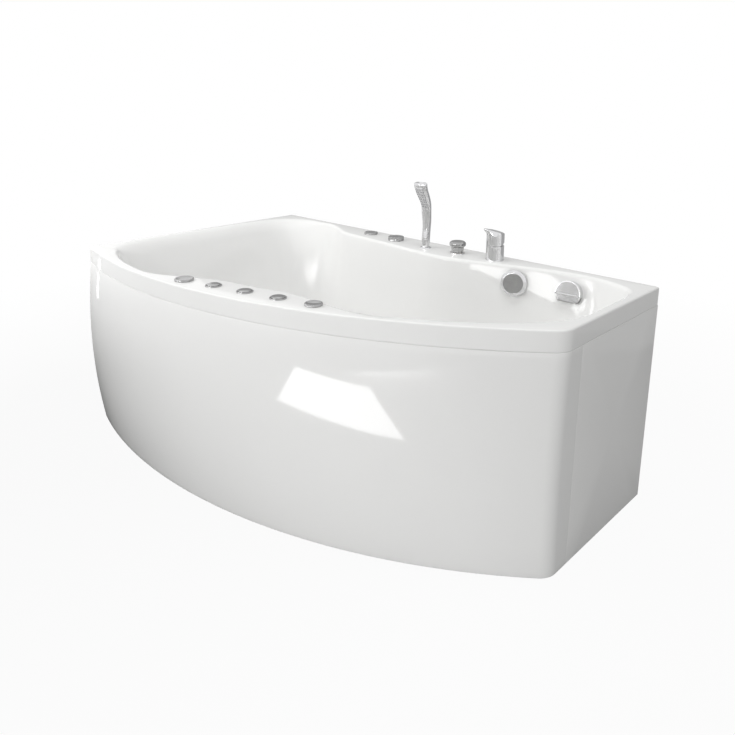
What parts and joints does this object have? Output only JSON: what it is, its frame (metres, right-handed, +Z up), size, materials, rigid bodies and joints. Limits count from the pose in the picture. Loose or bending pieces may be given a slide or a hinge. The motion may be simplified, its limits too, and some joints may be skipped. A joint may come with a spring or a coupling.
{
  "type": "jetted bathtub",
  "caption": "Jetted bathtub for a room corner with a bowed front panel, deck controls, hand shower, mixer, turning overflow cap and jet plumbing on a levelling frame",
  "frame": {"origin": "Middle of the footprint on the floor", "axes": "+X along the length to the right-hand end, +Y to the straight back, +Z up"},
  "size_m": [1.5, 0.91, 0.813],
  "materials": {
    "acrylic": "polished white sanitary acrylic",
    "chrome": "mirror chrome",
    "spray_grey": "satin grey",
    "board": "bonded particle board",
    "frame_steel": "light grey powder coat",
    "zinc_steel": "bright zinc",
    "rubber": "matt black",
    "brass": "plain",
    "white_pipe": "white pipe plastic",
    "nozzle_white": "gloss",
    "pump_black": "moulded black",
    "motor_aluminium": "die cast"
  },
  "bodies": {
    "tub": {"tub_shell": "acrylic", "front_panel": "acrylic", "end_panel": "acrylic", "base_board": "board", "base_frame": "frame_steel", "rim_posts": "frame_steel", "panel_brackets": "frame_steel", "pump_plate": "frame_steel", "foot_studs": "zinc_steel", "foot_nuts": "zinc_steel", "foot_pads": "rubber", "waste_gasket": "rubber", "waste_flange": "chrome", "overflow_trim": "chrome", "filler_hood": "chrome", "button_sleeves": "chrome", "shower_socket": "chrome", "mixer_body": "chrome", "jet_rims": "chrome", "suction_grille": "chrome", "deck_nuts": "brass", "diverter_valve": "brass", "filler_body": "brass", "supply_pipes": "brass", "filler_pipe": "brass", "waste_body": "white_pipe", "trap": "white_pipe", "overflow_body": "white_pipe", "overflow_pipe": "white_pipe", "turner_bodies": "white_pipe", "jet_bodies": "white_pipe", "pressure_pipe": "white_pipe", "air_pipes": "white_pipe", "suction_fitting": "white_pipe", "suction_pipe": "white_pipe", "pump_body": "pump_black", "pump_fan_cover": "pump_black", "control_box": "pump_black", "pump_motor": "motor_aluminium"},
    "front_turner_left": {"front_turner_left": "chrome"},
    "front_turner_right": {"front_turner_right": "chrome"},
    "back_turner_left": {"back_turner_left": "chrome"},
    "back_turner_right": {"back_turner_right": "chrome"},
    "button_left": {"button_left": "chrome"},
    "button_middle": {"button_middle": "chrome"},
    "button_right": {"button_right": "chrome"},
    "mixer_turret": {"mixer_turret": "chrome"},
    "mixer_lever": {"mixer_lever": "chrome"},
    "diverter_knob": {"diverter_knob": "chrome"},
    "overflow_knob": {"overflow_knob": "chrome"},
    "waste_plug": {"waste_plug": "chrome"},
    "jet_front_left": {"jet_front_left": "nozzle_white"},
    "jet_front_middle": {"jet_front_middle": "nozzle_white"},
    "jet_front_right": {"jet_front_right": "nozzle_white"},
    "jet_back_left": {"jet_back_left": "nozzle_white"},
    "jet_back_middle": {"jet_back_middle": "nozzle_white"},
    "jet_back_right": {"jet_back_right": "nozzle_white"},
    "hand_shower": {"hand_shower": "chrome", "shower_face": "spray_grey"}
  },
  "joints": [
    {"name": "front_turner_left_turn", "type": "hinge", "parent": "tub", "child": "front_turner_left", "pos_m": [-0.162, -0.37393, 0.6], "axis": [0, 0, 1], "range_deg": [0, 270]},
    {"name": "front_turner_right_turn", "type": "hinge", "parent": "tub", "child": "front_turner_right", "pos_m": [0.24375, -0.27091, 0.6], "axis": [0, 0, 1], "range_deg": [0, 270]},
    {"name": "back_turner_left_turn", "type": "hinge", "parent": "tub", "child": "back_turner_left", "pos_m": [-0.24, 0.404, 0.6], "axis": [0, 0, 1], "range_deg": [0, 270]},
    {"name": "back_turner_right_turn", "type": "hinge", "parent": "tub", "child": "back_turner_right", "pos_m": [-0.10875, 0.392, 0.6], "axis": [0, 0, 1], "range_deg": [0, 270]},
    {"name": "button_left_push", "type": "slide", "parent": "tub", "child": "button_left", "axis": [0, 0, -1], "range_m": [0, 0.002], "stiffness_N_per_m": 1200, "springref_m": -0.002},
    {"name": "button_middle_push", "type": "slide", "parent": "tub", "child": "button_middle", "axis": [0, 0, -1], "range_m": [0, 0.002], "stiffness_N_per_m": 1200, "springref_m": -0.002},
    {"name": "button_right_push", "type": "slide", "parent": "tub", "child": "button_right", "axis": [0, 0, -1], "range_m": [0, 0.002], "stiffness_N_per_m": 1200, "springref_m": -0.002},
    {"name": "mixer_turn", "type": "hinge", "parent": "tub", "child": "mixer_turret", "pos_m": [0.28575, 0.397, 0.652], "axis": [0, 0, 1], "range_deg": [-45, 45]},
    {"name": "mixer_lift", "type": "hinge", "parent": "mixer_turret", "child": "mixer_lever", "pos_m": [0.28575, 0.397, 0.652], "axis": [-0.8192, 0.5736, 0], "range_deg": [0, 20]},
    {"name": "diverter_turn", "type": "hinge", "parent": "tub", "child": "diverter_knob", "pos_m": [0.156, 0.386, 0.6], "axis": [0, 0, 1], "range_deg": [0, 120]},
    {"name": "shower_lift", "type": "slide", "parent": "tub", "child": "hand_shower", "axis": [0, 0, 1], "range_m": [0, 0.05]},
    {"name": "overflow_turn", "type": "hinge", "parent": "tub", "child": "overflow_knob", "pos_m": [0.37725, 0.36489, 0.553], "axis": [0.2804, -0.9556, 0.0903], "range_deg": [0, 90]},
    {"name": "plug_lift", "type": "slide", "parent": "tub", "child": "waste_plug", "axis": [0, 0, 1], "range_m": [0, 0.01]},
    {"name": "jet_front_left_swivel", "type": "hinge", "parent": "tub", "child": "jet_front_left", "pos_m": [-0.29972, -0.333, 0.29887], "axis": [-0.9973, -0.0738, 0], "range_deg": [-14, 14]},
    {"name": "jet_front_middle_swivel", "type": "hinge", "parent": "tub", "child": "jet_front_middle", "pos_m": [0.03099, -0.24236, 0.29952], "axis": [-0.9685, -0.2492, 0], "range_deg": [-14, 14]},
    {"name": "jet_front_right_swivel", "type": "hinge", "parent": "tub", "child": "jet_front_right", "pos_m": [0.27075, -0.18976, 0.29914], "axis": [-0.9815, -0.1917, 0], "range_deg": [-14, 14]},
    {"name": "jet_back_left_swivel", "type": "hinge", "parent": "tub", "child": "jet_back_left", "pos_m": [-0.18732, 0.30595, 0.29935], "axis": [0.999, -0.0452, 0], "range_deg": [-14, 14]},
    {"name": "jet_back_middle_swivel", "type": "hinge", "parent": "tub", "child": "jet_back_middle", "pos_m": [0.03769, 0.29381, 0.29951], "axis": [0.9988, -0.0491, 0], "range_deg": [-14, 14]},
    {"name": "jet_back_right_swivel", "type": "hinge", "parent": "tub", "child": "jet_back_right", "pos_m": [0.26935, 0.30635, 0.29938], "axis": [0.9861, 0.1659, 0], "range_deg": [-14, 14]}
  ],
  "couplings": [
    {"joint": "plug_lift", "follows": "overflow_turn", "m_per_rad": 0.0063662}
  ]
}
